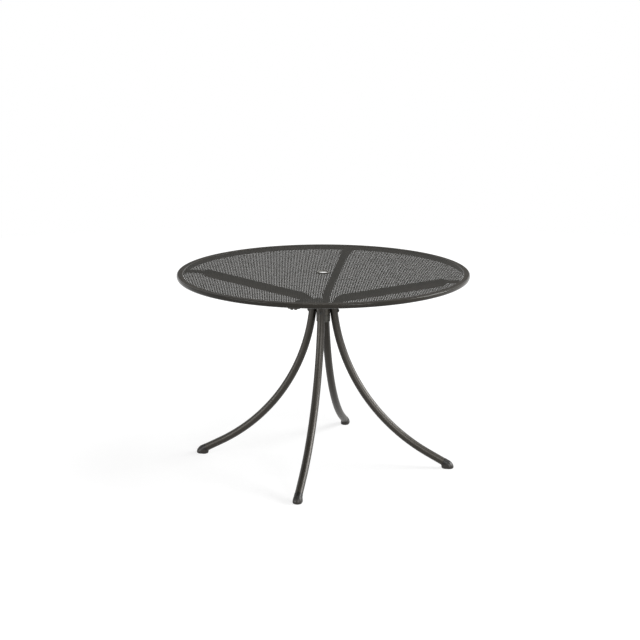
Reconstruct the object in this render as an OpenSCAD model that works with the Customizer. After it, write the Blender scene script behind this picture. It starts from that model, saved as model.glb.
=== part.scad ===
// Round garden table: a mesh top in a rolled rim, carried by four bent tubes that meet at a hub.
// Millimetres, +Z up. The origin is on the floor, below the centre of the top.

/* [Table] */
// Overall diameter of the top
top_d = 1066; // [960:1:1220]
// Floor to the top face of the rim
table_h = 724; // [680:1:760]

/* [Rim] */
// Width of the rim, seen from above
rim_w = 23.5; // [21:0.5:30]
// Height of the rim
rim_h = 17.5; // [15:0.5:24]
// Wall of the rim tube
rim_wall = 1.5; // [1:0.1:2.5]
// Rounding of the rim's inner edges
rim_inner_round = 3; // [2.5:0.5:4]
// Rounding of the rim's upper outer edge
rim_top_round = 4.5; // [3:0.5:7]
// Rounding of the rim's lower outer edge
rim_low_round = 9; // [6:0.5:9.5]

/* [Mesh top] */
// Thickness of the mesh sheet
mesh_t = 2; // [1:0.1:3]
// Distance from one strand to the next; the real sheet is about eight times finer
mesh_pitch = 44.4; // [40:0.1:60]
// Width of a strand
mesh_strand = 5; // [3:0.1:8]
// Angle between the strands and the legs
mesh_turn = 12.6; // [0:0.1:45]
// Depth of the mesh below the top face of the rim
mesh_recess = 1.5; // [1.5:0.1:2.5]
// Width of the unpierced band along the sheet's edge
mesh_band = 3; // [2:0.5:6]
// Gap between the sheet's edge and the rim
mesh_gap = 0.3; // [0.1:0.1:0.5]

/* [Umbrella hole] */
// Clear diameter for the umbrella pole, in the collar and in the hub
pole_bore = 39; // [34:0.5:42]
// Diameter of the collar's flange
collar_d = 48; // [47:0.5:60]
// Thickness of the collar's flange
collar_flange_t = 1.5; // [1:0.1:1.5]
// Wall of the collar's neck
collar_wall = 2; // [1.5:0.1:2.2]
// Thickness of the backing ring under the mesh
backing_t = 2; // [1.5:0.5:3]

/* [Leg tubes] */
// Outside diameter of the leg tubes
tube_d = 28.5; // [25:0.5:30]
// Wall of the leg tubes
tube_wall = 1.6; // [1.2:0.1:2.5]
// Distance from the table's axis to the middle of a foot
foot_r = 468; // [430:1:490]
// Straight run of the tube's axis, from the end of the sweep to the middle of the foot
foot_run = 82; // [60:1:110]
// Angle from the vertical at which the sweep meets the tight bend
hub_lean = 6.7; // [4:0.1:9]
// Radius of the tight bend at the hub, on the tube's axis
bend_r = 50; // [45:1:60]
// Depth of the hub screws below the top face of the rim
hub_drop = 144; // [130:1:160]
// Length of the flattened tube end under the mesh, up to the rim's inner face
flat_reach = 52; // [45:1:65]
// Length over which the round tube turns into its flattened end
flat_blend = 24; // [20:1:34]
// Depth of the tube's axis below the middle of its flattened end, where the blend begins
arm_drop = 5; // [4:0.5:8]
// Rounding of the flattened end's corners, seen from above
flat_corner = 8; // [4:1:12]

/* [Hub] */
// Outside diameter of both hub rings
hub_d = 51; // [50:0.5:56]
// Height of the upper ring
hub_ring_h = 36; // [32:1:44]
// Height of the upper ring below the screws
hub_ring_below = 16; // [15:1:19]
// Visible height of the lower ring
guide_h = 26; // [18:1:34]
// Height of the lower ring's spigot
spigot_h = 9; // [6:1:10]
// Room round the pole in the upper ring, beyond the lower ring's bore
ring_relief = 0.7; // [0.4:0.1:1]
// Wall of the lower ring's spigot
spigot_wall = 2.6; // [2:0.1:3]
// Rounding of the rings' free edges
hub_round = 2; // [1:0.5:4]
// Gap between a ring and a tube where they touch
seat_gap = 0.2; // [0.1:0.05:0.3]

/* [Foot shoes] */
// Length of the shoe's pad, along the leg
pad_l = 45; // [40:0.5:52]
// Width of the shoe's pad, across the leg
pad_w = 34; // [32:0.5:38]
// Height of the pad's straight side
pad_side = 6; // [5:0.5:9]
// Rounding of the pad's lower edge
pad_round = 4.5; // [2:0.5:5.5]
// Length of the shoe's neck, along the tube's axis
neck_run = 19; // [15:0.5:22]
// Step from the tube's outside to the shoe's neck
neck_step = 0.8; // [0.4:0.1:1.5]
// Length of the plug inside the tube
plug_l = 28; // [20:1:40]
// Gap between a plug or spigot and what it sits in
plug_gap = 0.2; // [0.1:0.05:0.3]

/* [Fasteners] */
// Thread diameter of every screw
screw_d = 6; // [5:0.5:6]
// Gap between a screw and its hole
screw_gap = 0.3; // [0.2:0.1:0.5]
// Distance between the two rim bolts of a leg
bolt_spacing = 13; // [13:0.5:20]
// Thickness of the washers
washer_t = 0.8; // [0.6:0.1:1.6]

/* [Hidden] */

$fn = 96;

// Clearance of a screw in its thread, so that the solids don't overlap
thread_gap = 0.05;
// Height of the shoe's neck above the floor, at the middle of the foot
neck_lift = 0.6;
// Length over which the pieces of one tube overlap, so that they fuse
lap = 1;
// Step in radius where two pieces of a tube overlap, so that their surfaces don't coincide
lap_step = 0.2;
// Crease where a pressed tube end leaves the round tube
crease = 0.4;
// Thickness of the end slice that a pressed tube end runs to
slice_t = 0.2;

tube_r = tube_d / 2;
tube_in_r = tube_r - tube_wall;
rim_out_r = top_d / 2;
rim_in_r = rim_out_r - rim_w;
rim_base_z = table_h - rim_h;

mesh_top_z = table_h - mesh_recess;
mesh_base_z = mesh_top_z - mesh_t;
mesh_r = rim_in_r - mesh_gap;
mesh_open_r = mesh_r - mesh_band;
collar_neck_r = pole_bore / 2 + collar_wall;

// The leg's axis lies in one upright plane: points are [distance from the table's axis, height].
touch = [hub_d / 2 + seat_gap + tube_r, table_h - hub_drop];
bend_c = [touch[0] + bend_r, touch[1]];
neck_r = tube_r + neck_step;
foot_c = [foot_r, neck_r + neck_lift];

// The sweep's radius for a given slope of the tube at the foot
function sweep_for(slope) =
    (cos(slope) * (bend_c[1] - foot_c[1] - bend_r * sin(hub_lean))
    - sin(slope) * (foot_r - bend_c[0] + bend_r * cos(hub_lean)))
    / (1 - sin(slope + hub_lean));
// The straight run that such a slope leaves before the middle of the foot
function run_for(slope) =
    (foot_r - bend_c[0] + bend_r * cos(hub_lean)
    - sweep_for(slope) * (cos(hub_lean) - sin(slope))) / cos(slope);
// The slope that leaves the wanted run, found by halving the interval
function slope_between(low, high, steps) =
    let (middle = (low + high) / 2)
    steps == 0 ? middle
    : run_for(middle) > foot_run ? slope_between(low, middle, steps - 1)
    : slope_between(middle, high, steps - 1);

flattest_slope = 5;
steepest_slope = 60;
foot_slope = slope_between(flattest_slope, steepest_slope, 40);
sweep_r = sweep_for(foot_slope);
sweep_c = bend_c + (sweep_r - bend_r) * [cos(hub_lean), sin(hub_lean)];
foot_dir = [cos(foot_slope), -sin(foot_slope)];
sweep_end = sweep_c - sweep_r * [sin(foot_slope), cos(foot_slope)];
joint_p = foot_c - neck_run * foot_dir;

flat_t = 2 * tube_wall;
flat_w = PI * (tube_d - tube_wall) / 2 + tube_wall;
flat_z = rim_base_z - flat_t / 2;
flat_start_r = rim_in_r - flat_reach;
bolt_r = (rim_in_r + rim_inner_round + rim_out_r - rim_low_round) / 2;
flat_end_r = bolt_r + screw_d;
arm_end = [flat_start_r - flat_blend, flat_z - arm_drop];
arm_ray = arm_end - bend_c;
arm_slope = atan2(arm_ray[1], arm_ray[0]) - asin(bend_r / norm(arm_ray));
arm_start = bend_c + bend_r * [-sin(arm_slope), cos(arm_slope)];
arm_dir = [cos(arm_slope), sin(arm_slope)];

hub_base_z = touch[1] - hub_ring_below;
guide_base_z = hub_base_z - guide_h;
counterbore_r = pole_bore / 2 + spigot_wall + plug_gap / 2;
hub_seam_round = 1.5;

hex_af = screw_d + 3;
nut_h = screw_d - 1;
hex_head_h = 3;
washer_d = 2 * screw_d;
button_d = 10.5;
button_h = 3.3;
saddle_d = 14;
saddle_t = 2;
saddle_arc = 30;
thread_depth = 5;

// Segments of the largest circles, and of the bends
fine_fn = 240;
// Segments of the round end that a pressed tube starts from
pressed_fn = 32;

powder_coat = "#4a4744";
moulding = "#35332f";
black_zinc = "#3b3a38";

// One piece for each of the four legs, turned into its place
module around() {
    for (turn = [0 : 90 : 270]) rotate(turn) children();
}

// A straight round bar between two points of the leg's plane
module bar(from, to, r) {
    run = to - from;
    translate([from[0], 0, from[1]])
        rotate([0, atan2(run[0], run[1]), 0])
            cylinder(h = norm(run), r = r);
}

// A round bar bent to an arc in the leg's plane
module arc_bar(centre, radius, from, to, r) {
    translate([centre[0], 0, centre[1]])
        rotate([90, 0, 0])
            rotate(from)
                rotate_extrude(angle = to - from, $fn = fine_fn)
                    translate([radius, 0]) circle(r = r);
}

// The short stretch where the round tube is pressed flat
module pressed_end(r, width, thickness, end_r) {
    hull() {
        bar(arm_end - lap * arm_dir, arm_end, r + lap_step - crease, $fn = pressed_fn);
        translate([end_r, -width / 2, flat_z - thickness / 2])
            cube([slice_t, width, thickness]);
    }
}

// The leg's whole path, drawn with one radius: once for the outside and once for the bore
module leg_path(r) {
    lap_angle = lap / bend_r * 180 / PI;
    bar(sweep_end - lap * foot_dir, joint_p, r);
    arc_bar(sweep_c, sweep_r, 180 + hub_lean, 270 - foot_slope, r + lap_step);
    arc_bar(bend_c, bend_r, 90 + arm_slope, 180 + hub_lean + lap_angle, r);
    bar(arm_start - lap * arm_dir, arm_end, r + lap_step);
}

// The flattened end that is bolted under the rim
module flat_tab() {
    length = flat_end_r - flat_start_r;
    translate([flat_start_r, 0, flat_z - flat_t / 2])
        linear_extrude(flat_t)
            union() {
                translate([0, -flat_w / 2]) square([length - flat_corner, flat_w]);
                translate([0, -flat_w / 2 + flat_corner])
                    square([length, flat_w - 2 * flat_corner]);
                for (side = [-1, 1])
                    translate([length - flat_corner, side * (flat_w / 2 - flat_corner)])
                        circle(r = flat_corner);
            }
}

module rim_bolt_places() {
    for (side = [-1, 1]) translate([bolt_r, side * bolt_spacing / 2, 0]) children();
}

module leg_tube() {
    color(powder_coat)
        difference() {
            union() {
                leg_path(tube_r);
                pressed_end(tube_r, flat_w - slice_t, flat_t - slice_t, flat_start_r);
                flat_tab();
            }
            leg_path(tube_in_r);
            pressed_end(tube_in_r, flat_w - 2 * tube_wall, slice_t, flat_start_r - tube_wall);
            rim_bolt_places()
                translate([0, 0, flat_z - flat_t])
                    cylinder(h = 2 * flat_t, r = screw_d / 2 + screw_gap);
            bar([touch[0] - tube_d, touch[1]], [touch[0] + tube_d, touch[1]],
                screw_d / 2 + screw_gap);
        }
}

// The pad's section: flat base, rounded lower edges, straight sides and domed top
module pad_section() {
    pad_r = pad_w / 2;
    base_r = pad_r - pad_round;
    translate([-base_r, 0]) square([2 * base_r, pad_side]);
    translate([-pad_r, pad_round]) square([2 * pad_r, pad_side - pad_round]);
    for (side = [-1, 1]) translate([side * base_r, pad_round]) circle(r = pad_round);
    translate([0, pad_side])
        intersection() {
            circle(r = pad_r);
            translate([-pad_r, 0]) square([2 * pad_r, pad_r]);
        }
}

// The oblong pad: the section turned into two round ends, and drawn straight between them
module pad() {
    reach = (pad_l - pad_w) / 2;
    for (side = [-1, 1])
        translate([foot_r + side * reach, 0, 0])
            rotate_extrude()
                intersection() {
                    pad_section();
                    square([pad_w, pad_side + pad_w]);
                }
    translate([foot_r - reach, 0, 0])
        rotate([90, 0, 90])
            linear_extrude(2 * reach) pad_section();
}

// The neck's half section along the tube's axis: a round socket that ends in a half ball
module neck_section() {
    square([neck_r, neck_run]);
    translate([0, neck_run])
        intersection() {
            circle(r = neck_r);
            square(neck_r);
        }
}

module foot_shoe() {
    color(moulding)
        union() {
            pad();
            translate([joint_p[0], 0, joint_p[1]])
                rotate([0, 90 + foot_slope, 0])
                    rotate_extrude() neck_section();
            bar(joint_p - plug_l * foot_dir, joint_p + lap * foot_dir, tube_in_r - plug_gap);
        }
}

// The rim's section with its own rounding at each edge, drawn inset by a wall
module rim_section(inset) {
    left = rim_in_r + inset;
    right = rim_out_r - inset;
    base = rim_base_z + inset;
    top = table_h - inset;
    inner = rim_inner_round - inset;
    upper = rim_top_round - inset;
    lower = rim_low_round - inset;
    intersection() {
        union() {
            polygon([[left + inner, base], [right - lower, base], [right, base + lower],
                [right, top - upper], [right - upper, top], [left + inner, top],
                [left, top - inner], [left, base + inner]]);
            translate([left + inner, base + inner]) circle(r = inner);
            translate([left + inner, top - inner]) circle(r = inner);
            translate([right - upper, top - upper]) circle(r = upper);
            translate([right - lower, base + lower]) circle(r = lower);
        }
        translate([left, base]) square([right - left, top - base]);
    }
}

module rim_ring() {
    color(powder_coat)
        difference() {
            rotate_extrude($fn = fine_fn)
                difference() {
                    rim_section(0);
                    rim_section(rim_wall);
                }
            around() rim_bolt_places()
                translate([0, 0, rim_base_z - rim_wall])
                    cylinder(h = 3 * rim_wall, r = screw_d / 2 + screw_gap);
        }
}

// Every opening of the mesh that reaches well into the pierced field
module mesh_openings() {
    count = ceil(mesh_open_r / mesh_pitch);
    opening = mesh_pitch - mesh_strand;
    outer_limit = mesh_open_r + opening / 4;
    inner_limit = (collar_d - opening) / 2 + mesh_strand;
    for (column = [-count : count], row = [-count : count]) {
        middle = mesh_pitch * [column, row];
        distance = norm(middle);
        if (distance < outer_limit && distance > inner_limit)
            translate(middle) square(opening, center = true);
    }
}

module mesh_top() {
    color(powder_coat)
        translate([0, 0, mesh_base_z])
            linear_extrude(mesh_t)
                difference() {
                    circle(r = mesh_r, $fn = fine_fn);
                    circle(r = collar_neck_r + mesh_gap);
                    intersection() {
                        difference() {
                            circle(r = mesh_open_r, $fn = fine_fn);
                            circle(r = collar_d / 2);
                        }
                        rotate(mesh_turn) mesh_openings();
                    }
                }
}

module umbrella_collar() {
    neck_base_z = mesh_base_z - backing_t;
    color(moulding)
        difference() {
            union() {
                translate([0, 0, mesh_top_z]) cylinder(h = collar_flange_t, d = collar_d);
                translate([0, 0, neck_base_z])
                    cylinder(h = mesh_top_z - neck_base_z, r = collar_neck_r);
            }
            translate([0, 0, neck_base_z - 1]) cylinder(h = table_h, d = pole_bore);
        }
}

module collar_backing_ring() {
    color(moulding)
        translate([0, 0, mesh_base_z - backing_t])
            linear_extrude(backing_t)
                difference() {
                    circle(d = collar_d);
                    circle(r = collar_neck_r + plug_gap);
                }
}

// A ring's wall in section, with its outer edges rounded
module ring_section(inner, height, lower, upper) {
    wall = hub_d / 2 - inner;
    translate([inner, 0])
        union() {
            translate([0, lower]) square([wall, height - lower - upper]);
            square([wall - lower, height / 2]);
            translate([0, height / 2]) square([wall - upper, height / 2]);
            translate([wall - lower, lower]) circle(r = lower);
            translate([wall - upper, height - upper]) circle(r = upper);
        }
}

module hub_upper_ring() {
    color(powder_coat)
        translate([0, 0, hub_base_z])
            difference() {
                rotate_extrude()
                    ring_section(pole_bore / 2 + ring_relief, hub_ring_h, hub_seam_round, hub_round);
                translate([0, 0, -1]) cylinder(h = spigot_h + 1 + plug_gap, r = counterbore_r);
                around() translate([0, 0, hub_ring_below])
                    rotate([0, 90, 0])
                        cylinder(h = hub_d, r = screw_d / 2 + thread_gap);
            }
}

module hub_lower_ring() {
    color(moulding)
        translate([0, 0, guide_base_z])
            difference() {
                union() {
                    rotate_extrude()
                        ring_section(pole_bore / 2, guide_h, hub_round, hub_seam_round);
                    cylinder(h = guide_h + spigot_h, r = pole_bore / 2 + spigot_wall);
                }
                translate([0, 0, -1]) cylinder(h = guide_h + spigot_h + 2, d = pole_bore);
            }
}

module hub_saddle_washers() {
    color(black_zinc)
        around()
            difference() {
                bar([touch[0] + tube_r / 2, touch[1]], [touch[0] + tube_r + saddle_t, touch[1]],
                    saddle_d / 2);
                arc_bar(bend_c, bend_r, 180 - saddle_arc, 180 + saddle_arc,
                    tube_r + lap_step + thread_gap);
                bar([touch[0], touch[1]], [touch[0] + tube_d, touch[1]],
                    screw_d / 2 + screw_gap);
            }
}

module hub_screws() {
    seat_r = touch[0] + tube_r + saddle_t;
    color(black_zinc)
        around()
            difference() {
                union() {
                    bar([hub_d / 2 - thread_depth, touch[1]], [seat_r, touch[1]], screw_d / 2);
                    bar([seat_r, touch[1]], [seat_r + button_h, touch[1]], button_d / 2);
                }
                translate([seat_r + button_h / 2, 0, touch[1]])
                    rotate([0, 90, 0])
                        cylinder(h = button_h, d = 2 * screw_d / 3, $fn = 6);
            }
}

module rim_bolts() {
    seat_z = rim_base_z - flat_t - washer_t;
    shank = washer_t + flat_t + rim_wall + nut_h + 1;
    color(black_zinc)
        around() rim_bolt_places() {
            translate([0, 0, seat_z]) cylinder(h = shank, d = screw_d);
            translate([0, 0, seat_z - hex_head_h])
                cylinder(h = hex_head_h, d = hex_af / cos(30), $fn = 6);
        }
}

module rim_washers() {
    color(black_zinc)
        around() rim_bolt_places()
            translate([0, 0, rim_base_z - flat_t - washer_t])
                linear_extrude(washer_t)
                    difference() {
                        circle(d = washer_d);
                        circle(r = screw_d / 2 + screw_gap);
                    }
}

module rim_weld_nuts() {
    color(black_zinc)
        around() rim_bolt_places()
            translate([0, 0, rim_base_z + rim_wall])
                difference() {
                    rotate(30) cylinder(h = nut_h, d = hex_af / cos(30), $fn = 6);
                    translate([0, 0, -1])
                        cylinder(h = nut_h + 2, r = screw_d / 2 + thread_gap);
                }
}

rim_ring();
mesh_top();
umbrella_collar();
collar_backing_ring();
leg_tube();  // leg_right
rotate(90) leg_tube();  // leg_back
rotate(180) leg_tube();  // leg_left
rotate(270) leg_tube();  // leg_front
foot_shoe();  // shoe_right
rotate(90) foot_shoe();  // shoe_back
rotate(180) foot_shoe();  // shoe_left
rotate(270) foot_shoe();  // shoe_front
hub_upper_ring();
hub_lower_ring();
hub_screws();
hub_saddle_washers();
rim_bolts();
rim_washers();
rim_weld_nuts();
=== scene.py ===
# %% [markdown]
# # A round garden table with a wire mesh top
#
# The table is 1.07 m across and 0.72 m high. A rolled steel rim holds a fine mesh, and four bent tubes
# carry it. The exact solids come first, as a frame that nothing here moves. Most pieces are then drawn
# again as smooth surfaces from short formulas, in the same place and at the same size, and each gets the
# finish of the real one.

# %% Load the frame
import math

import bpy
import numpy as np
from mathutils import Euler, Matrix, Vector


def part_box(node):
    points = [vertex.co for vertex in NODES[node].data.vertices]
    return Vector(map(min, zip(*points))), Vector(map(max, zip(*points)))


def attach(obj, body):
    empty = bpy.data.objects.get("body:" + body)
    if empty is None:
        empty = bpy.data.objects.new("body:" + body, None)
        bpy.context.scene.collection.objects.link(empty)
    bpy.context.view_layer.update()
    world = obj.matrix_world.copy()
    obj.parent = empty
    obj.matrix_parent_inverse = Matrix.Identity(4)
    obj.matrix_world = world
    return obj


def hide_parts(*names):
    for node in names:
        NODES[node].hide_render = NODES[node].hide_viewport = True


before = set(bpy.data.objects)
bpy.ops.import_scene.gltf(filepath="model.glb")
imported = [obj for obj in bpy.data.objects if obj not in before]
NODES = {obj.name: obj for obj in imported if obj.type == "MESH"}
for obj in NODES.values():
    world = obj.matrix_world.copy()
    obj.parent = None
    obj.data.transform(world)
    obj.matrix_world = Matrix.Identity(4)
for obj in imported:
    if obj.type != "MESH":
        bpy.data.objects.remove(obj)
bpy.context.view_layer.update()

BODY = "root"

# %% [markdown]
# ## Sizes
#
# The surfaces must lie where the solids are, so they use the same numbers. A box of a solid gives some of
# them, and the rest are repeated here in millimetres, as a workshop drawing has them. MM turns them into
# metres.

# %% The drawing's sizes
MM = 0.001
TABLE_H = 724.0
RIM_OUT_R = 533.0
RIM_IN_R = 509.5
RIM_H = 17.5
RIM_BASE_Z = TABLE_H - RIM_H
MESH_TOP_Z = TABLE_H - 1.5
MESH_BASE_Z = MESH_TOP_Z - 2.0
POLE_R = 19.5
COLLAR_R = 24.0
COLLAR_NECK_R = 21.5
TUBE_R = 14.25
FLAT_T = 3.2
FLAT_W = 43.86
SCREW_R = 3.0
WASHER_T = 0.8

rim_low, rim_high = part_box("rim_ring")
print("rim radius in mm:", round(rim_high[0] / MM, 1), "height:", round((rim_high[2] - rim_low[2]) / MM, 2))

# %% [markdown]
# ## From a grid of points to a mesh
#
# Every surface below is a grid: rows run along the form and columns run round it. Drawing such a grid by
# hand would be slow, and Blender's own primitives have no rounded edges, so numpy works out all the points
# at once. One function joins neighbouring points into four-sided faces and another hands the arrays to
# Blender.

# %% Join a grid into faces
def grid_faces(rows, columns, close_rows=False):
    """Four-sided faces of a grid whose columns close on themselves.

    Face (i, j) joins points (i, j), (i, j + 1), (i + 1, j + 1) and (i + 1, j). It faces outwards where the
    rows run up and the columns run anticlockwise, seen from above.
    """
    row, column = np.meshgrid(
        np.arange(rows if close_rows else rows - 1), np.arange(columns), indexing="ij"
    )
    next_row, next_column = (row + 1) % rows, (column + 1) % columns
    corners = [
        row * columns + column,
        row * columns + next_column,
        next_row * columns + next_column,
        next_row * columns + column,
    ]
    return np.stack(corners, axis=-1).reshape(-1, 4)


def closed_grid(points, close_rows=False):
    """Points and faces of one grid; where its rows don't close, a flat face closes each end."""
    rows, columns = points.shape[:2]
    faces = grid_faces(rows, columns, close_rows).tolist()
    if not close_rows:
        faces.append(list(range(columns))[::-1])
        faces.append(list(range((rows - 1) * columns, rows * columns)))
    return points.reshape(-1, 3), faces


# %% Put points and faces into an object
SHARP_ANGLE = math.radians(38)


def add_piece(name, parts, slot, *replaced):
    """One object from several closed grids, in millimetres, that stands for the named solids."""
    points, faces, offset = [], [], 0
    for part_points, part_faces in parts:
        points.append(part_points)
        faces += [[index + offset for index in face] for face in part_faces]
        offset += len(part_points)
    mesh = bpy.data.meshes.new(name)
    mesh.from_pydata((np.concatenate(points) * MM).tolist(), [], faces)
    mesh.shade_smooth()
    mesh.set_sharp_from_angle(angle=SHARP_ANGLE)
    piece = bpy.data.objects.new(name, mesh)
    bpy.context.scene.collection.objects.link(piece)
    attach(piece, BODY)
    if replaced:
        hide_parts(*replaced)
    print(f"{name}: {len(mesh.vertices)} points, {len(mesh.polygons)} faces")
    return piece


# %% Turn points about the table's axis
QUARTER_TURNS = {"right": 0, "back": 90, "left": 180, "front": 270}


def turned(points, degrees):
    """The same points, turned about the vertical axis: x' = x cos a - y sin a and y' = x sin a + y cos a."""
    angle = math.radians(degrees)
    x, y, z = np.moveaxis(points, -1, 0)
    return np.stack(
        [x * math.cos(angle) - y * math.sin(angle), x * math.sin(angle) + y * math.cos(angle), z], axis=-1
    )


# %% [markdown]
# ## Turned and rolled pieces
#
# The rim, the collar and the hub's rings are all one profile carried round an axis. No real edge is
# perfectly sharp, and it is the small round on an edge that catches the light, so each corner of a profile
# is replaced by an arc that touches both sides. The rim's own rounds are large: 9 mm below, 4.5 mm above
# and 3 mm inside.

# %% Round a profile's corners and carry it round
def rounded_profile(corners, radii, steps=7):
    """A closed profile whose corners are arcs.

    An arc of radius r touches both sides at r / tan(half the corner's angle) from the corner. Its centre lies
    on the corner's bisector. A corner that turns inwards works the same way.
    """
    corners, radii = np.array(corners, float), np.array(radii, float)[:, None]
    before = np.roll(corners, 1, axis=0) - corners
    after = np.roll(corners, -1, axis=0) - corners
    before /= np.linalg.norm(before, axis=1, keepdims=True)
    after /= np.linalg.norm(after, axis=1, keepdims=True)
    half = np.arccos(np.clip(np.sum(before * after, axis=1), -1, 1)) / 2
    reach = radii / np.tan(half)[:, None]
    bisector = (before + after) / np.linalg.norm(before + after, axis=1, keepdims=True)
    centre = corners + bisector * radii / np.sin(half)[:, None]
    start = corners + before * reach - centre
    stop = corners + after * reach - centre
    share = np.linspace(0, 1, steps)[None, :, None]
    spread = (np.pi - 2 * half)[:, None, None]
    from_start = np.sin((1 - share) * spread) * start[:, None]
    from_stop = np.sin(share * spread) * stop[:, None]
    return (centre[:, None] + (from_start + from_stop) / np.sin(spread)).reshape(-1, 2)


def revolved(profile, columns):
    """A closed profile of (radius, height) points, carried round the vertical axis."""
    angle = np.linspace(0, 2 * np.pi, columns, endpoint=False)[None, :]
    radius, height = profile[:, :1], profile[:, 1:]
    return np.stack([radius * np.cos(angle), radius * np.sin(angle), height + 0 * angle], axis=-1)


# %% The rim
RIM_CORNERS = [(RIM_IN_R, RIM_BASE_Z), (RIM_OUT_R, RIM_BASE_Z), (RIM_OUT_R, TABLE_H), (RIM_IN_R, TABLE_H)]
RIM_ROUNDS = [3.0, 9.0, 4.5, 3.0]
RIM_COLUMNS = 360
rim_profile = rounded_profile(RIM_CORNERS, RIM_ROUNDS, steps=10)
rim_grid = closed_grid(revolved(rim_profile, RIM_COLUMNS), close_rows=True)
rim = add_piece("rim", [rim_grid], "rim_coat", "rim_ring")

# %% [markdown]
# ## The collar and the hub's rings
#
# The umbrella pole drops through a moulded collar in the mesh and a guide between the tubes. The collar
# rests on the edge of the mesh with a thin flange, and a ring below clamps it. The hub is a steel ring,
# which the tubes are screwed to, with a moulded guide pushed into it from below. Their edges meet in a
# narrow groove, which the photograph shows.

# %% The collar
COLLAR_LOW_Z = MESH_BASE_Z - 2.0
RING_COLUMNS = 96
collar_profile = rounded_profile(
    [(POLE_R, COLLAR_LOW_Z), (COLLAR_NECK_R, COLLAR_LOW_Z), (COLLAR_NECK_R, MESH_TOP_Z),
     (COLLAR_R, MESH_TOP_Z), (COLLAR_R, TABLE_H), (POLE_R, TABLE_H)],
    [0.4, 0.4, 0.2, 0.3, 1.0, 0.8],
)
collar_grid = closed_grid(revolved(collar_profile, RING_COLUMNS), close_rows=True)
collar = add_piece("collar", [collar_grid], "collar_moulding", "umbrella_collar")

# %% The hub's two rings
HUB_R = 25.5
HUB_BASE_Z = 564.0
HUB_TOP_Z = 600.0
GUIDE_BASE_Z = 538.0
SPIGOT_TOP_Z = 573.0
SPIGOT_R = 22.1
HUB_BORE_R = 20.2
HUB_SEAT_R = 22.2
HUB_SEAT_Z = SPIGOT_TOP_Z + 0.2
upper_profile = rounded_profile(
    [(HUB_SEAT_R, HUB_BASE_Z), (HUB_R, HUB_BASE_Z), (HUB_R, HUB_TOP_Z),
     (HUB_BORE_R, HUB_TOP_Z), (HUB_BORE_R, HUB_SEAT_Z), (HUB_SEAT_R, HUB_SEAT_Z)],
    [0.3, 1.5, 2.0, 0.8, 0.3, 0.3],
)
lower_profile = rounded_profile(
    [(POLE_R, GUIDE_BASE_Z), (HUB_R, GUIDE_BASE_Z), (HUB_R, HUB_BASE_Z),
     (SPIGOT_R, HUB_BASE_Z), (SPIGOT_R, SPIGOT_TOP_Z), (POLE_R, SPIGOT_TOP_Z)],
    [0.8, 2.0, 1.5, 0.2, 0.5, 0.5],
)
hub_grid = closed_grid(revolved(upper_profile, RING_COLUMNS), close_rows=True)
guide_grid = closed_grid(revolved(lower_profile, RING_COLUMNS), close_rows=True)
hub_ring = add_piece("hub_ring", [hub_grid], "hub_coat", "hub_upper_ring")
pole_guide = add_piece("pole_guide", [guide_grid], "guide_moulding", "hub_lower_ring")

# %% [markdown]
# ## The mesh
#
# The top is a steel mesh of thin flat strands, 5.8 mm from one to the next, welded on cross wires. Its
# strands run almost straight away from the camera. It could be one plane with slots painted by a shader,
# but that would have no thickness, and it is the thickness that closes the slots where one looks across
# them at a low angle. So every strand is a bar with broken edges, eight points round, and every cross wire
# is a round one. A strand is finer than two pixels in the picture, so the slow stripes come out by
# themselves, as they do in a photograph. The cross wires stand well apart, because closer ones would break
# those stripes up.

# %% The mesh's sizes
STRAND_PITCH = 5.8
STRAND_W = 5.2
STRAND_T = 0.4
STRAND_EDGE = 0.12
CROSS_PITCH = 24.0
CROSS_R = 0.45
CROSS_SINK = 0.3 * CROSS_R
SECTION_POINTS = 8
MESH_TURN = 12.6
MESH_R = RIM_IN_R + 0.6
HOLE_R = COLLAR_NECK_R + 0.4


def bar_ends(pitch):
    """Place and both ends of every bar that runs along +Y, as (across, from, to).

    A bar at distance d from the axis reaches sqrt(R * R - d * d), R being the mesh's radius. One that would
    cross the umbrella hole, of radius h, is cut in two at sqrt(h * h - d * d). The outermost strands lie
    against the rim, so that no slot is left beside them.
    """
    count = round(MESH_R / pitch)
    across = (np.arange(-count, count) + 0.5) * pitch
    reach = np.sqrt(MESH_R**2 - across**2)
    cut = np.abs(across) < HOLE_R
    gap = np.sqrt(HOLE_R**2 - across[cut] ** 2)
    whole = np.stack([across[~cut], -reach[~cut], reach[~cut]], axis=1)
    near = np.stack([across[cut], -reach[cut], -gap], axis=1)
    far = np.stack([across[cut], gap, reach[cut]], axis=1)
    return np.concatenate([whole, near, far])


def bar_layer(section, pitch, height, degrees):
    """Closed bars of one section: x = across + section x, z = height + section z, then turned into place."""
    ends = bar_ends(pitch)
    sides = len(section)
    x = ends[:, 0, None, None] + section[:, 0] + np.zeros((1, 2, 1))
    y = ends[:, 1:, None] + np.zeros(sides)
    z = height + section[:, 1] + np.zeros_like(y)
    points = turned(np.stack([x, y, z], axis=-1), degrees)
    starts = (np.arange(len(ends)) * 2 * sides)[:, None, None]
    quads = (grid_faces(2, sides)[None] + starts).reshape(-1, 4).tolist()
    first_cap = (np.arange(sides)[::-1] + starts[:, 0]).tolist()
    last_cap = (np.arange(sides) + sides + starts[:, 0]).tolist()
    return points.reshape(-1, 3), quads + first_cap + last_cap


# %% Strands above, cross wires below
half_w, half_t = STRAND_W / 2, STRAND_T / 2
strand_section = np.array([
    (half_w - STRAND_EDGE, half_t), (half_w, half_t - STRAND_EDGE),
    (half_w, STRAND_EDGE - half_t), (half_w - STRAND_EDGE, -half_t),
    (STRAND_EDGE - half_w, -half_t), (-half_w, STRAND_EDGE - half_t),
    (-half_w, half_t - STRAND_EDGE), (STRAND_EDGE - half_w, half_t),
])
around = np.linspace(0, 2 * np.pi, SECTION_POINTS, endpoint=False)
cross_section = CROSS_R * np.stack([np.sin(around), np.cos(around)], axis=1)
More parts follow.
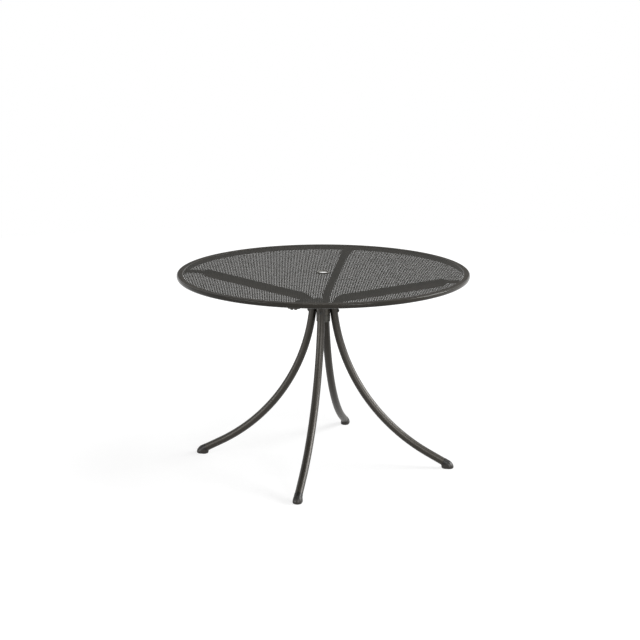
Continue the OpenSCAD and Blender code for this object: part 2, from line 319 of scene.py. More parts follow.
# A welded wire sinks a little into the strands above it.
cross_z = MESH_TOP_Z - STRAND_T - CROSS_R + CROSS_SINK
wires = add_piece(
    "mesh_strands",
    [
        bar_layer(strand_section, STRAND_PITCH, MESH_TOP_Z - half_t, MESH_TURN),
        bar_layer(cross_section, CROSS_PITCH, cross_z, MESH_TURN + 90),
    ],
    "mesh_coat",
    "mesh_top",
)

# %% [markdown]
# ## The legs
#
# Each leg is one tube. It leaves the foot shoe at a slope of 28 degrees, sweeps up to the hub on a radius
# of 679 mm, turns outwards there on a radius of 50 mm and rises as an arm to the rim. Its end is pressed
# flat and bolted under the rim. A curve object with a bevel would give the tube but not the pressed end, so
# the section itself changes along the path: a press keeps the length round the tube, and makes it a slot
# shape with two straight sides. All its numbers follow from the bends, so the path meets the solid's own
# everywhere.

# %% The leg's path in its own upright plane
FOOT_R = 468.0
FOOT_AXIS_Z = 15.65
FOOT_SLOPE = math.radians(28.01123)
FOOT_NECK = 19.0
SWEEP_R = 678.69473
SWEEP_CENTRE = np.array([714.35115, 653.35028])
HUB_LEAN = math.radians(6.7)
BEND_R = 50.0
BEND_CENTRE = np.array([89.95, 580.0])
ARM_SLOPE = math.radians(11.34108)
FLAT_START = 457.5
FLAT_Z = 704.9
FLAT_END = 524.25
FLAT_BLEND = 24.0
FLAT_CORNER = 8.0
ARM_END = np.array([FLAT_START - FLAT_BLEND, FLAT_Z - 5.0])


def arc(centre, radius, start, stop, count):
    """Points at equal angles on an arc of the leg's plane."""
    angle = np.linspace(start, stop, count)[:, None]
    return centre + radius * np.concatenate([np.cos(angle), np.sin(angle)], axis=1)


def straight(start, stop, count):
    """Points at equal steps on a straight run of the leg's plane."""
    share = np.linspace(0, 1, count)[:, None]
    return np.array(start) * (1 - share) + np.array(stop) * share


# The last number of a run is how many points it has: close ones in a bend, wide ones where it is straight.
foot_direction = np.array([math.cos(FOOT_SLOPE), -math.sin(FOOT_SLOPE)])
joint = np.array([FOOT_R, FOOT_AXIS_Z]) - FOOT_NECK * foot_direction
sweep = arc(SWEEP_CENTRE, SWEEP_R, 3 * math.pi / 2 - FOOT_SLOPE, math.pi + HUB_LEAN, 72)
tight_bend = arc(BEND_CENTRE, BEND_R, math.pi + HUB_LEAN, math.pi / 2 + ARM_SLOPE, 30)
print("shoe joint at", joint.round(1), "sweep from", sweep[0].round(1), "to", sweep[-1].round(1))

# %% The pressed end, and the whole path
blend_share = np.linspace(0, 1, 19)[1:, None]
blend_rise = blend_share**2 * (3 - 2 * blend_share)
blend_x = ARM_END[0] + FLAT_BLEND * blend_share
blend_z = ARM_END[1] + (FLAT_Z - ARM_END[1]) * blend_rise
blend = np.concatenate([blend_x, blend_z], axis=1)
corner_share = np.sin(np.linspace(0, math.pi / 2, 9))[:, None]
corner_x = FLAT_END - FLAT_CORNER * (1 - corner_share)
flat_end = np.concatenate([corner_x, np.full_like(corner_x, FLAT_Z)], axis=1)
leg_path = np.concatenate([
    straight(joint, sweep[0], 8)[:-1],
    sweep,
    tight_bend[1:],
    straight(tight_bend[-1], ARM_END, 26)[1:],
    blend,
    straight((FLAT_START, FLAT_Z), (corner_x[0, 0], FLAT_Z), 8)[1:-1],
    flat_end,
])
leg_length = float(np.linalg.norm(np.diff(leg_path, axis=0), axis=1).sum())
print("points along a leg:", len(leg_path), "length in mm:", round(leg_length))


# %% The tube's section, round or pressed
def pressed_section(half_thickness, half_straight, columns):
    """Slot-shaped sections, one per row: half circles of radius b joined by straight sides of length 2a.

    A point is found by its distance along the outline, whose whole length is 4 a + 2 pi b.
    """
    b, a = half_thickness[:, None], half_straight[:, None]
    along = np.linspace(0, 1, columns, endpoint=False)[None, :] * (4 * a + 2 * np.pi * b)
    to_top, to_left = np.pi * b / 2, np.pi * b / 2 + 2 * a
    to_base, to_right = to_left + np.pi * b, to_left + np.pi * b + 2 * a
    turn = np.select(
        [along < to_top, along < to_left, along < to_base, along < to_right],
        [along / b, np.pi / 2 + 0 * along, np.pi / 2 + (along - to_left) / b, 1.5 * np.pi + 0 * along],
        1.5 * np.pi + (along - to_right) / b,
    )
    middle = np.select(
        [along < to_top, along < to_left, along < to_base, along < to_right],
        [a + 0 * along, a - (along - to_top), -a + 0 * along, -a + (along - to_base)],
        a + 0 * along,
    )
    return middle + b * np.cos(turn), b * np.sin(turn)


LOWEST_ARM_Z = 600.0


def leg_surface(columns=40):
    """The section carried along the path, square to it."""
    direction = np.gradient(leg_path, axis=0)
    direction /= np.linalg.norm(direction, axis=1, keepdims=True)
    x = leg_path[:, 0]
    pressed = np.clip((x - ARM_END[0]) / FLAT_BLEND, 0, 1) * (leg_path[:, 1] > LOWEST_ARM_Z)
    pressed = pressed * pressed * (3 - 2 * pressed)
    half_thickness = TUBE_R + (FLAT_T / 2 - TUBE_R) * pressed
    half_straight = (FLAT_W - FLAT_T) / 2 * pressed
    into_corner = np.clip(x - (FLAT_END - FLAT_CORNER), 0, FLAT_CORNER) * (pressed > 0.5)
    half_straight = half_straight - (FLAT_CORNER - np.sqrt(FLAT_CORNER**2 - into_corner**2))
    across, up = pressed_section(half_thickness, np.maximum(half_straight, 0), columns)
    normal = np.stack([-direction[:, 1], direction[:, 0]], axis=1)
    points_x = leg_path[:, :1] + up * normal[:, :1]
    points_z = leg_path[:, 1:] + up * normal[:, 1:]
    return np.stack([points_x, across, points_z], axis=-1)


# %% Four legs
leg_points = leg_surface()
legs = {
    side: add_piece(f"leg_tube_{side}", [closed_grid(turned(leg_points, angle))], "leg_coat", f"leg_{side}")
    for side, angle in QUARTER_TURNS.items()
}

# %% [markdown]
# ## The foot shoes
#
# A shoe is one moulding: an oblong pad with a domed top, and a socket that the tube stands in. In the mould
# the two flow into each other. Joining two primitives would leave a hard crease, so the form is written as
# a distance: how far a point is from the pad, how far from the socket, and a soft minimum of the two, which
# fills the crease. A ray from the middle of the foot meets the surface once in every direction, so the
# surface is a grid of directions, and halving the interval thirty times finds each ray's length.

# %% The shoe as a distance
PAD_L = 45.0
PAD_R = 17.0
PAD_SIDE = 6.0
PAD_ROUND = 4.5
NECK_R = TUBE_R + 0.8
SHOE_FILLET = 6.0
NECK_EDGE = 0.7
NECK_MOUTH_R = TUBE_R - 1.8
LONGEST_RAY = 60.0
HALVINGS = 30
LAST_RING = 0.02


def pad_distance(across, height):
    """Distance to the pad, by how far a point is from its middle line and how high above the floor.

    The lower part is straight, with a rounded edge at the floor. The dome on it has the radius of its width.
    """
    out, down = across - (PAD_R - PAD_ROUND), PAD_ROUND - height
    low = np.hypot(np.maximum(out, 0), np.maximum(down, 0)) + np.minimum(np.maximum(out, down), 0) - PAD_ROUND
    dome = np.hypot(across, height - PAD_SIDE) - PAD_R
    return np.where(height < PAD_SIDE, low, dome)


def shoe_distance(points):
    """Soft minimum of the pad's distance and the socket's, in the leg's own frame, cut off at the floor."""
    x, y, z = np.moveaxis(points, -1, 0)
    pad = pad_distance(np.hypot(np.maximum(np.abs(x - FOOT_R) - (PAD_L / 2 - PAD_R), 0), y), z)
    offset_x, offset_z = x - FOOT_R, z - FOOT_AXIS_Z
    along = np.minimum(offset_x * foot_direction[0] + offset_z * foot_direction[1], 0)
    socket = np.sqrt(
        (offset_x - along * foot_direction[0]) ** 2 + y**2 + (offset_z - along * foot_direction[1]) ** 2
    ) - NECK_R
    overlap = np.maximum(SHOE_FILLET - np.abs(pad - socket), 0) / SHOE_FILLET
    blended = np.minimum(pad, socket) - overlap**2 * SHOE_FILLET / 4
    return np.maximum(blended, -z)


# %% The shoe's surface
def shoe_surface(columns=72, rows=60):
    """Rings round the tube's axis: the socket's end face and its small round, then a ring of rays each."""
    axis = np.array([-foot_direction[0], 0, -foot_direction[1]])
    side = np.array([0.0, 1.0, 0.0])
    up = np.cross(axis, side)
    centre = np.array([FOOT_R, 0, FOOT_AXIS_Z])
    turn = np.linspace(0, 2 * np.pi, columns, endpoint=False)[None, :, None]
    round_outwards = np.cos(turn) * side + np.sin(turn) * up
    edge = np.linspace(0, math.pi / 2, 5)
    radius = np.concatenate([[NECK_MOUTH_R], NECK_R - NECK_EDGE + NECK_EDGE * np.sin(edge)])[:, None, None]
    reach = np.concatenate([[FOOT_NECK], FOOT_NECK - NECK_EDGE + NECK_EDGE * np.cos(edge)])[:, None, None]
    face = centre + reach * axis + radius * round_outwards
    first = math.atan2(NECK_R, FOOT_NECK - NECK_EDGE)
    polar = np.linspace(first, math.pi - LAST_RING, rows)[1:, None, None]
    rays = np.cos(polar) * axis + np.sin(polar) * round_outwards
    near, far = np.zeros(rays.shape[:2]), np.full(rays.shape[:2], LONGEST_RAY)
    for _ in range(HALVINGS):
        middle = (near + far) / 2
        outside = shoe_distance(centre + rays * middle[..., None]) > 0
        near, far = np.where(outside, near, middle), np.where(outside, middle, far)
    return np.concatenate([face, centre + rays * near[..., None]])


shoe_points = shoe_surface()[::-1]
shoes = {
    side: add_piece(
        f"foot_shoe_{side}", [closed_grid(turned(shoe_points, angle))], "shoe_moulding", f"shoe_{side}"
    )
    for side, angle in QUARTER_TURNS.items()
}
print("lowest point of a shoe in mm:", round(float(shoe_points[..., 2].min()), 3))

# %% [markdown]
# ## Screws and bolts
#
# A button-head screw holds each tube to the hub and two hexagon bolts hold each pressed end to the rim.
# Both are turned parts, so they are grids round their own axis too. Where the form is a hexagon, the radius
# swings with the angle: the half width divided by the cosine of the angle from the nearest flat.

# %% Heads with a hexagon
def hexagon_radius(half_width, angle):
    """Distance from the middle to a hexagon's outline: w / cos(angle from the nearest flat)."""
    sector = math.pi / 3
    return half_width / np.cos((angle + sector / 2) % sector - sector / 2)


def lathe(along, radius, origin, axis):
    """Rings of the given radius at each distance along an axis of unit length."""
    origin, axis = np.array(origin, float), np.array(axis, float)
    side = np.array([0.0, 1.0, 0.0])
    up = np.cross(axis, side)
    columns = radius.shape[1]
    angle = np.linspace(0, 2 * np.pi, columns, endpoint=False)[None, :, None]
    spokes = np.cos(angle) * side + np.sin(angle) * up
    return origin + along[..., None] * axis + radius[..., None] * spokes


HEAD_COLUMNS = 48
TIP_R = 0.2
head_angle = np.linspace(0, 2 * np.pi, HEAD_COLUMNS, endpoint=False)[None, :]

# %% The hub's button heads
BUTTON_R = 5.25
BUTTON_H = 3.3
SOCKET_HALF = 2.0
SOCKET_DEPTH = 2.0
SOCKET_CONE = 0.2
SOCKET_MOUTH_R = SOCKET_HALF * 1.25
SCREW_SEAT = 56.2
SCREW_TIP = 20.5
SCREW_Z = 580.0
SCREW_LENGTH = SCREW_SEAT - SCREW_TIP
SCREW_CHAMFER = 0.5
BUTTON_EDGE = 0.2
DOME_START = 0.2
dome_turn = np.linspace(DOME_START, 1, 8)
dome_along = BUTTON_H * np.sin(dome_turn * math.pi / 2)
dome_inwards = np.cos((dome_turn - DOME_START) / (1 - DOME_START) * math.pi / 2)
dome_radius = SOCKET_MOUTH_R + (BUTTON_R - SOCKET_MOUTH_R) * dome_inwards
screw_along = np.concatenate([
    [-SCREW_LENGTH, -SCREW_LENGTH, SCREW_CHAMFER - SCREW_LENGTH, 0.0, 0.0, BUTTON_EDGE],
    dome_along, [BUTTON_H, BUTTON_H - SOCKET_DEPTH, BUTTON_H - SOCKET_DEPTH - SOCKET_CONE],
])
screw_radius = np.concatenate([
    [TIP_R, SCREW_R - SCREW_CHAMFER, SCREW_R, SCREW_R, BUTTON_R - BUTTON_EDGE, BUTTON_R], dome_radius,
])
screw_radius = np.repeat(screw_radius[:, None], HEAD_COLUMNS, axis=1)
socket = hexagon_radius(SOCKET_HALF, head_angle)
screw_radius = np.concatenate([screw_radius, socket, socket, 0.1 * socket])
screw_along = np.repeat(screw_along[:, None], HEAD_COLUMNS, axis=1)
screw_points = lathe(screw_along, screw_radius, (SCREW_SEAT, 0, SCREW_Z), (1, 0, 0))
hub_screws = add_piece(
    "hub_screw_heads",
    [closed_grid(turned(screw_points, angle)) for angle in QUARTER_TURNS.values()],
    "black_zinc",
    "hub_screws",
)

# %% The rim's hexagon bolts
BOLT_R = 518.25
BOLT_SPACING = 13.0
HEX_HALF = 4.5
HEX_H = 3.0
BOLT_SEAT_Z = RIM_BASE_Z - FLAT_T - WASHER_T
RIM_WALL = 1.5
NUT_H = 5.0
BOLT_PAST_NUT = 1.0
BOLT_CHAMFER = 0.6
BOLT_LENGTH = WASHER_T + FLAT_T + RIM_WALL + NUT_H + BOLT_PAST_NUT
# A hexagon head's corners are turned off at 30 degrees, down to a round face just inside its flats.
FACE_SLOPE = math.tan(math.radians(30))
FACE_INSET = 0.3
hexagon = hexagon_radius(HEX_HALF, head_angle)
face_r = HEX_HALF - FACE_INSET
plain = np.ones_like(head_angle)
bolt_radius = np.concatenate([
    TIP_R * plain, (SCREW_R - BOLT_CHAMFER) * plain, SCREW_R * plain, SCREW_R * plain,
    hexagon, hexagon, face_r * plain, TIP_R * plain,
])
bolt_along = np.concatenate([
    -BOLT_LENGTH * plain, -BOLT_LENGTH * plain, (BOLT_CHAMFER - BOLT_LENGTH) * plain, 0.0 * plain,
    0.0 * plain, HEX_H - (hexagon - face_r) * FACE_SLOPE, HEX_H * plain, HEX_H * plain,
])
bolt_parts = []
for angle in QUARTER_TURNS.values():
    for offset in (-BOLT_SPACING / 2, BOLT_SPACING / 2):
        bolt_points = lathe(bolt_along, bolt_radius, (BOLT_R, offset, BOLT_SEAT_Z), (0, 0, -1))
        bolt_parts.append(closed_grid(turned(bolt_points, angle)))
rim_bolts = add_piece("rim_bolt_heads", bolt_parts, "black_zinc", "rim_bolts")

# %% [markdown]
# ## Finishes
#
# Three finishes make this table. The steel is powder coated: dry paint powder, baked to a satin skin that
# is even in colour, with a faint orange peel. The tubes, the rim and the mesh carry the same paint, and the
# small differences between their coats' shades are painted light and shade for how each part is lit: the
# tubes' coat is a little darker than the rim's and the mesh's, with more sheen. The hub's ring is painted
# lighter, as painted light for the lamps that fall on it from the right. The shoes, the collar and the guide
# are moulded nylon, with a fine grain that scatters the light. The collar's and the guide's nylon is a
# lighter grey than the shoes', and is lightened further as painted light for those lamps. The screws are
# black zinc. Image textures could give all this, but they would need files and a place on each surface, so
# noise in the object's own coordinates is used, at sizes that come from the real finish. Colours are written
# as sRGB hex, as a colour chart has them, and turned into the linear values that the shader needs.

# %% Three helpers for materials
def linear(hex_colour):
    """An sRGB hex colour as linear light: v / 12.92 up to 0.04045, else ((v + 0.055) / 1.055) ** 2.4."""
    values = np.array([int(hex_colour[index : index + 2], 16) for index in (1, 3, 5)]) / 255
    values = np.where(values <= 0.04045, values / 12.92, ((values + 0.055) / 1.055) ** 2.4)
    return (*values.tolist(), 1.0)


def add_node(tree, kind, settings=None, inputs=None, links=None):
    """One new node; settings are its attributes, inputs its socket values, links the sockets that feed it."""
    node = tree.nodes.new(kind)
    for key, value in (settings or {}).items():
        setattr(node, key, value)
    for key, value in (inputs or {}).items():
        node.inputs[key].default_value = value
    for key, socket in (links or {}).items():
        tree.links.new(socket, node.inputs[key])
    return node


def empty_material(name):
    """A new material, its emptied node tree, and the socket for a point's place in the object."""
    material = bpy.data.materials.new(name)
    material.use_nodes = True
    material.node_tree.nodes.clear()
    place = add_node(material.node_tree, "ShaderNodeTexCoord").outputs["Object"]
    return material, material.node_tree, place


# %% Satin powder coat
POLYMER_IOR = 1.5
CLOUD_MM = 70.0
CLOUD_EDGES = 0.35, 0.65
PEEL_BUMP = 0.35
PEEL_DEPTH_MM = 0.25
PEEL_GLOSS = 0.05
RUB_FROM_MM, RUB_TO_MM = 0.20, 0.01


def powder_coat(name, light, dark, sheen_colour, sheen, peel_mm, roughness, rubbed=0.0):
    """Polyester powder on steel: two close shades in soft clouds, and orange peel in bump and roughness.

    The sheen's own colour gives the tubes their brown cast. Where rubbed is above 0, sleeves and plates have
    added that much roughness to the flat top, from 0.2 mm below the table's height upwards.
    """
    material, tree, place = empty_material(name)
    # The coat is a little thicker in some places than in others, in clouds about 70 mm wide.
    clouds = add_node(
        tree, "ShaderNodeTexNoise",
        inputs={"Scale": 1 / (CLOUD_MM * MM), "Detail": 3.0},
        links={"Vector": place},
    )
    shade = add_node(tree, "ShaderNodeValToRGB", links={"Fac": clouds.outputs["Fac"]})
    low, high = shade.color_ramp.elements
    low.position, high.position = CLOUD_EDGES
    low.color, high.color = linear(dark), linear(light)
    # Real orange peel is 1 to 2 mm wide. It is drawn coarser, so that it still shows from a step away.
    peel = add_node(
        tree, "ShaderNodeTexNoise",
        inputs={"Scale": 1 / (peel_mm * MM), "Detail": 2.0},
        links={"Vector": place},
    )
    gloss = add_node(
        tree, "ShaderNodeMapRange",
        inputs={"To Min": roughness - PEEL_GLOSS, "To Max": roughness + PEEL_GLOSS},
        links={"Value": peel.outputs["Fac"]},
    ).outputs["Result"]
    if rubbed:
        height = add_node(tree, "ShaderNodeSeparateXYZ", links={"Vector": place})
        low_z, high_z = (TABLE_H - RUB_FROM_MM) * MM, (TABLE_H - RUB_TO_MM) * MM
        top = add_node(
            tree, "ShaderNodeMapRange", {"interpolation_type": "SMOOTHSTEP"},
            {"From Min": low_z, "From Max": high_z, "To Max": rubbed},
            {"Value": height.outputs["Z"]},
        )
        gloss = add_node(
            tree, "ShaderNodeMath", {"operation": "ADD"}, links={0: gloss, 1: top.outputs["Result"]}
        ).outputs["Value"]
    bump = add_node(
        tree, "ShaderNodeBump",
        inputs={"Strength": PEEL_BUMP, "Distance": PEEL_DEPTH_MM * MM},
        links={"Height": peel.outputs["Fac"]},
    )
    surface = add_node(
        tree, "ShaderNodeBsdfPrincipled",
        inputs={
            "Metallic": 0.0, "IOR": POLYMER_IOR,
            "Specular IOR Level": sheen, "Specular Tint": linear(sheen_colour),
        },
        links={"Base Color": shade.outputs["Color"], "Roughness": gloss, "Normal": bump.outputs["Normal"]},
    )
    add_node(tree, "ShaderNodeOutputMaterial", links={"Surface": surface.outputs["BSDF"]})
    print(f"{material.name}: {len(tree.nodes)} nodes")
    return material


# %% The steel's four coats
# The rim, tube and mesh coats are one paint: their small differences in shade are painted light and shade for
# how each part is lit.
# Name, light and dark shade, the sheen's colour and level, the peel's width in mm, and the roughness.
RIM_COAT = powder_coat("satin_powder_coat_rim", "#2c2924", "#262420", "#fffefb", 0.165, 4.0, 0.22, rubbed=0.5)
TUBE_COAT = powder_coat("satin_powder_coat_tube", "#27241f", "#221f1a", "#fffaf3", 0.40, 4.0, 0.40)
# The hub's shades are painted light: much lighter than the tubes' paint, for the lamps on the right that
# light the ring.
HUB_COAT_PAINTED_LIGHT = powder_coat("satin_powder_coat_hub_painted_light", "#504c45", "#4a4640", "#fffcf6", 0.50, 4.0, 0.36)
WIRE_COAT = powder_coat("satin_powder_coat_mesh", "#292723", "#23221e", "#ffffff", 0.10, 2.5, 0.68)


# %% Moulded nylon
FLOW_MM = 18.0
FLOW_EDGES = 0.3, 0.7
GRAIN_MM = 1.4
GRAIN_BUMP = 0.3
GRAIN_DEPTH_MM = 0.15
FLOW_GLOSS = 0.06
DARKER_FROM_MM, DARKEST_FROM_MM = 10.0, 24.0
# A Mix node has number and vector sockets too, so its colour sockets are found by their places.
MIX_FACTOR, MIX_FIRST, MIX_SECOND, MIX_RESULT = 0, 6, 7, 2


def moulded_nylon(name, light, dark, roughness, sheen, upper_tint=None):
    """Glass-filled nylon from an etched mould: dark, with a fine grain and slightly uneven gloss.

    Where an upper tint is given, the colour is multiplied by it from 10 mm above the floor upwards, so the
    piece is lighter near the floor and darker above.
    """
    material, tree, place = empty_material(name)
    flow = add_node(
        tree, "ShaderNodeTexNoise",
        inputs={"Scale": 1 / (FLOW_MM * MM), "Detail": 2.0},
        links={"Vector": place},
    )
    shade = add_node(tree, "ShaderNodeValToRGB", links={"Fac": flow.outputs["Fac"]})
    low, high = shade.color_ramp.elements
    low.position, high.position = FLOW_EDGES
    low.color, high.color = linear(dark), linear(light)
    colour = shade.outputs["Color"]
    # From 10 mm above the floor upwards the colour is multiplied by the tint, so the piece is darker there
    # than near the floor.
    if upper_tint:
        height = add_node(tree, "ShaderNodeSeparateXYZ", links={"Vector": place})
        above = add_node(
            tree, "ShaderNodeMapRange", {"interpolation_type": "SMOOTHSTEP"},
            {"From Min": DARKER_FROM_MM * MM, "From Max": DARKEST_FROM_MM * MM},
            {"Value": height.outputs["Z"]},
        )
        colour = add_node(
            tree, "ShaderNodeMix", {"data_type": "RGBA", "blend_type": "MULTIPLY"},
            {MIX_SECOND: linear(upper_tint)}, {MIX_FACTOR: above.outputs["Result"], MIX_FIRST: colour},
        ).outputs[MIX_RESULT]
    # An etched mould has a grain of about 0.3 mm. It is drawn at several times that, or it would not show.
    grain = add_node(
        tree, "ShaderNodeTexVoronoi", inputs={"Scale": 1 / (GRAIN_MM * MM)}, links={"Vector": place}
    )
    gloss = add_node(
        tree, "ShaderNodeMapRange",
        inputs={"To Min": roughness - FLOW_GLOSS, "To Max": roughness + FLOW_GLOSS},
        links={"Value": flow.outputs["Fac"]},
    )
    bump = add_node(
        tree, "ShaderNodeBump",
        inputs={"Strength": GRAIN_BUMP, "Distance": GRAIN_DEPTH_MM * MM},
        links={"Height": grain.outputs["Distance"]},
    )
    surface = add_node(
        tree, "ShaderNodeBsdfPrincipled",
        inputs={"Metallic": 0.0, "IOR": POLYMER_IOR, "Specular IOR Level": sheen},
        links={"Base Color": colour, "Roughness": gloss.outputs["Result"], "Normal": bump.outputs["Normal"]},
    )
    add_node(tree, "ShaderNodeOutputMaterial", links={"Surface": surface.outputs["BSDF"]})
    print(f"{material.name}: {len(tree.nodes)} nodes")
    return material


# %% The two nylons
# Name, light and dark shade, roughness and the sheen's level.
SHOE_NYLON = moulded_nylon("moulded_nylon_shoe", "#2c2925", "#262320", 0.40, 0.32, upper_tint="#7c7a78")
# The guide's nylon is a lighter grey than the shoes', and is lightened further as painted light for the lamps
# that light the hub from the right; the collar shares it.
GUIDE_NYLON_PAINTED_LIGHT = moulded_nylon("moulded_nylon_guide_painted_light", "#5a5851", "#514f4a", 0.42, 0.40)


# %% Black zinc plate
FILM_MM = 4.0


def black_zinc_plate():
    """Zinc plate with a black passivate: a dull metal whose film is a little cloudy."""
    material, tree, place = empty_material("black_zinc_plate")
    film = add_node(
        tree, "ShaderNodeTexNoise",
        inputs={"Scale": 1 / (FILM_MM * MM), "Detail": 4.0},
        links={"Vector": place},
    )
    shade = add_node(tree, "ShaderNodeValToRGB", links={"Fac": film.outputs["Fac"]})
    low, high = shade.color_ramp.elements
    low.color, high.color = linear("#2f2e2d"), linear("#4a4947")
    gloss = add_node(
        tree, "ShaderNodeMapRange",
        inputs={"To Min": 0.35, "To Max": 0.5},
        links={"Value": film.outputs["Fac"]},
    )
    surface = add_node(
        tree, "ShaderNodeBsdfPrincipled",
        inputs={"Metallic": 0.85},
        links={"Base Color": shade.outputs["Color"], "Roughness": gloss.outputs["Result"]},
    )
    add_node(tree, "ShaderNodeOutputMaterial", links={"Surface": surface.outputs["BSDF"]})
    print(f"{material.name}: {len(tree.nodes)} nodes")
    return material


BLACK_ZINC = black_zinc_plate()

# %% Give every piece its finish
def finish(piece, material):
    """The piece's only material slot gets this material."""
    piece.data.materials.clear()
    piece.data.materials.append(material)


finish(rim, RIM_COAT)
finish(wires, WIRE_COAT)
finish(hub_ring, HUB_COAT_PAINTED_LIGHT)
finish(collar, GUIDE_NYLON_PAINTED_LIGHT)
finish(pole_guide, GUIDE_NYLON_PAINTED_LIGHT)
finish(hub_screws, BLACK_ZINC)
finish(rim_bolts, BLACK_ZINC)
for leg in legs.values():
    finish(leg, TUBE_COAT)
for shoe in shoes.values():
    finish(shoe, SHOE_NYLON)
CAD_FINISHES = {
    "collar_backing_ring": GUIDE_NYLON_PAINTED_LIGHT,
    "hub_saddle_washers": BLACK_ZINC,
    "rim_washers": BLACK_ZINC,
    "rim_weld_nuts": BLACK_ZINC,
}
for node_name, material in CAD_FINISHES.items():
    for material_slot in NODES[node_name].material_slots:
        material_slot.material = material
print("finishes:", len(bpy.data.materials))

# %% [markdown]
# ## Floor and light
#
# The picture was taken on a white sweep, so the floor is a wide white plane. The camera, and a reflection,
# see it lifted to white, and what is left of its own shading keeps the faint shadows. All other light finds
# a mid-grey floor, so that the tubes keep a dark side. The light comes from four soft boxes, which stand
# farther away than any camera would. The largest is on the right: it draws the bright line along the tubes
# and the rim, and throws the shadows to the left. A smaller one on the right front and a long low one on
# the left front model the legs, and a weak one overhead lights the top.

# %% A white floor that keeps its shadows
FLOOR_R = 5.0
FLOOR_POINTS = 96
LIFT_NEAR, LIFT_FAR = 0.80, 1.0
LIFT_FROM, LIFT_TO = 0.7, 1.5
floor_mesh = bpy.data.meshes.new("floor")
floor_turn = np.linspace(0, 2 * np.pi, FLOOR_POINTS, endpoint=False)
floor_ring = FLOOR_R * np.stack([np.cos(floor_turn), np.sin(floor_turn), 0 * floor_turn], axis=1)
floor_mesh.from_pydata(floor_ring.tolist(), [], [list(range(len(floor_ring)))])
floor = bpy.data.objects.new("floor", floor_mesh)
bpy.context.scene.collection.objects.link(floor)


def seen_directly(tree):
    """1 for a ray from the camera, a reflection or clear glass, and 0 for scattered light."""
    ray = add_node(tree, "ShaderNodeLightPath")
    seen = add_node(
        tree, "ShaderNodeMath", {"operation": "MAXIMUM"},
        links={0: ray.outputs["Is Camera Ray"], 1: ray.outputs["Is Glossy Ray"]},
    )
    seen = add_node(
        tree, "ShaderNodeMath", {"operation": "MAXIMUM"},
        links={0: seen.outputs["Value"], 1: ray.outputs["Is Transmission Ray"]},
    )
    return seen.outputs["Value"]


floor_material, tree, place = empty_material("white_floor")
distance = add_node(tree, "ShaderNodeVectorMath", {"operation": "LENGTH"}, links={0: place})
# Away from the table the lamps reach the floor less, so the lift to white grows with distance.
lift_height = add_node(
    tree, "ShaderNodeMapRange", {"interpolation_type": "SMOOTHSTEP"},
    {"From Min": LIFT_FROM, "From Max": LIFT_TO, "To Min": LIFT_NEAR, "To Max": LIFT_FAR},
    {"Value": distance.outputs["Value"]},
)
lift = add_node(
    tree, "ShaderNodeEmission",
    inputs={"Color": linear("#ffffff")},
    links={"Strength": lift_height.outputs["Result"]},
)
faint = add_node(tree, "ShaderNodeBsdfDiffuse", inputs={"Color": linear("#898989")})
lifted = add_node(tree, "ShaderNodeAddShader", links={0: faint.outputs["BSDF"], 1: lift.outputs["Emission"]})
# Scattered light finds this mid-grey instead of the lifted white.
paint = add_node(tree, "ShaderNodeBsdfDiffuse", inputs={"Color": linear("#707070")})
either = add_node(
    tree, "ShaderNodeMixShader",
    links={0: seen_directly(tree), 1: paint.outputs["BSDF"], 2: lifted.outputs["Shader"]},
)
add_node(tree, "ShaderNodeOutputMaterial", links={"Surface": either.outputs["Shader"]})
finish(floor, floor_material)

# %% The room's light
ROOM_LIGHT = 0.03
world = bpy.data.worlds.new("studio")
bpy.context.scene.world = world
world.use_nodes = True
tree = world.node_tree
tree.nodes.clear()
strength = add_node(
    tree, "ShaderNodeMapRange",
    inputs={"To Min": ROOM_LIGHT, "To Max": 1.0},
    links={"Value": seen_directly(tree)},
)
room = add_node(
    tree, "ShaderNodeBackground",
    inputs={"Color": linear("#ffffff")},
    links={"Strength": strength.outputs["Result"]},
)
add_node(tree, "ShaderNodeOutputWorld", links={"Surface": room.outputs["Background"]})


# %% Soft boxes
AIM_Z = 0.4
LAMP_DISTANCE = 6.5


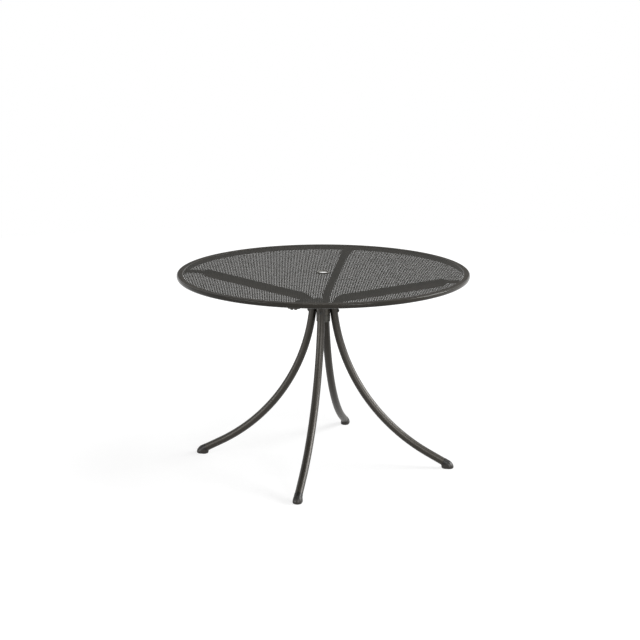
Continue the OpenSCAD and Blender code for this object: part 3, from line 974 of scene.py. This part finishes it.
def soft_box(name, azimuth, elevation, width, height, power):
    """A rectangular lamp that faces the table's middle, from a bearing and an elevation in degrees.

    It stands at (d cos e sin a, -d cos e cos a, d sin e), d being its distance, plus the height it aims at.
    """
    lamp = bpy.data.lights.new(name, "AREA")
    lamp.shape, lamp.size, lamp.size_y, lamp.energy = "RECTANGLE", width, height, power
    box = bpy.data.objects.new(name, lamp)
    bearing, rise = math.radians(azimuth), math.radians(elevation)
    box.location = (
        LAMP_DISTANCE * math.cos(rise) * math.sin(bearing),
        -LAMP_DISTANCE * math.cos(rise) * math.cos(bearing),
        LAMP_DISTANCE * math.sin(rise) + AIM_Z,
    )
    box.rotation_euler = Euler((math.pi / 2 - rise, 0, bearing))
    bpy.context.scene.collection.objects.link(box)
    print(f"{name}: {power} W at", [round(value, 2) for value in box.location])


# Name, azimuth and elevation in degrees, width and height in metres, and power in watts.
LAMPS = [
    ("key_right", 104, 26, 3.8, 2.6, 570),
    ("front_right", 36, 18, 2.0, 2.4, 230),
    ("left", -46, 10, 3.6, 1.6, 190),
    ("overhead", 0, 80, 1.6, 1.4, 70),
]
for lamp_row in LAMPS:
    soft_box(*lamp_row)

# %% [markdown]
# ## The camera
#
# The camera stands nearly six metres away with a long lens, 19 degrees above the floor, and looks slightly
# down past the table. These values were fitted to the edges of the rim, the tubes and the shoes in the
# picture. The legs stand 11 degrees off the view, which is why the front leg reaches to the left.

# %% Camera
VIEW_AZIMUTH = 10.939
VIEW_ELEVATION = math.radians(18.693)
VIEW_DISTANCE = 5.8799
CAMERA_TILT = 13.554
CAMERA_YAW = 0.12
CAMERA_ROLL = 0.02
SENSOR = 36.0
FOCAL_PIXELS = 1558.849
IMAGE_PIXELS = 640
camera_data = bpy.data.cameras.new("camera")
camera_data.sensor_width = SENSOR
camera_data.lens = FOCAL_PIXELS * SENSOR / IMAGE_PIXELS
camera = bpy.data.objects.new("camera", camera_data)
bearing = math.radians(VIEW_AZIMUTH)
camera.location = (
    VIEW_DISTANCE * math.cos(VIEW_ELEVATION) * math.sin(bearing),
    -VIEW_DISTANCE * math.cos(VIEW_ELEVATION) * math.cos(bearing),
    VIEW_DISTANCE * math.sin(VIEW_ELEVATION),
)
camera.rotation_euler = Euler(
    (math.radians(90 - CAMERA_TILT), math.radians(CAMERA_ROLL), math.radians(VIEW_AZIMUTH + CAMERA_YAW))
)
bpy.context.scene.collection.objects.link(camera)
bpy.context.scene.camera = camera
bpy.context.scene.view_settings.view_transform = "Standard"
print("lens in mm:", round(camera_data.lens, 2))
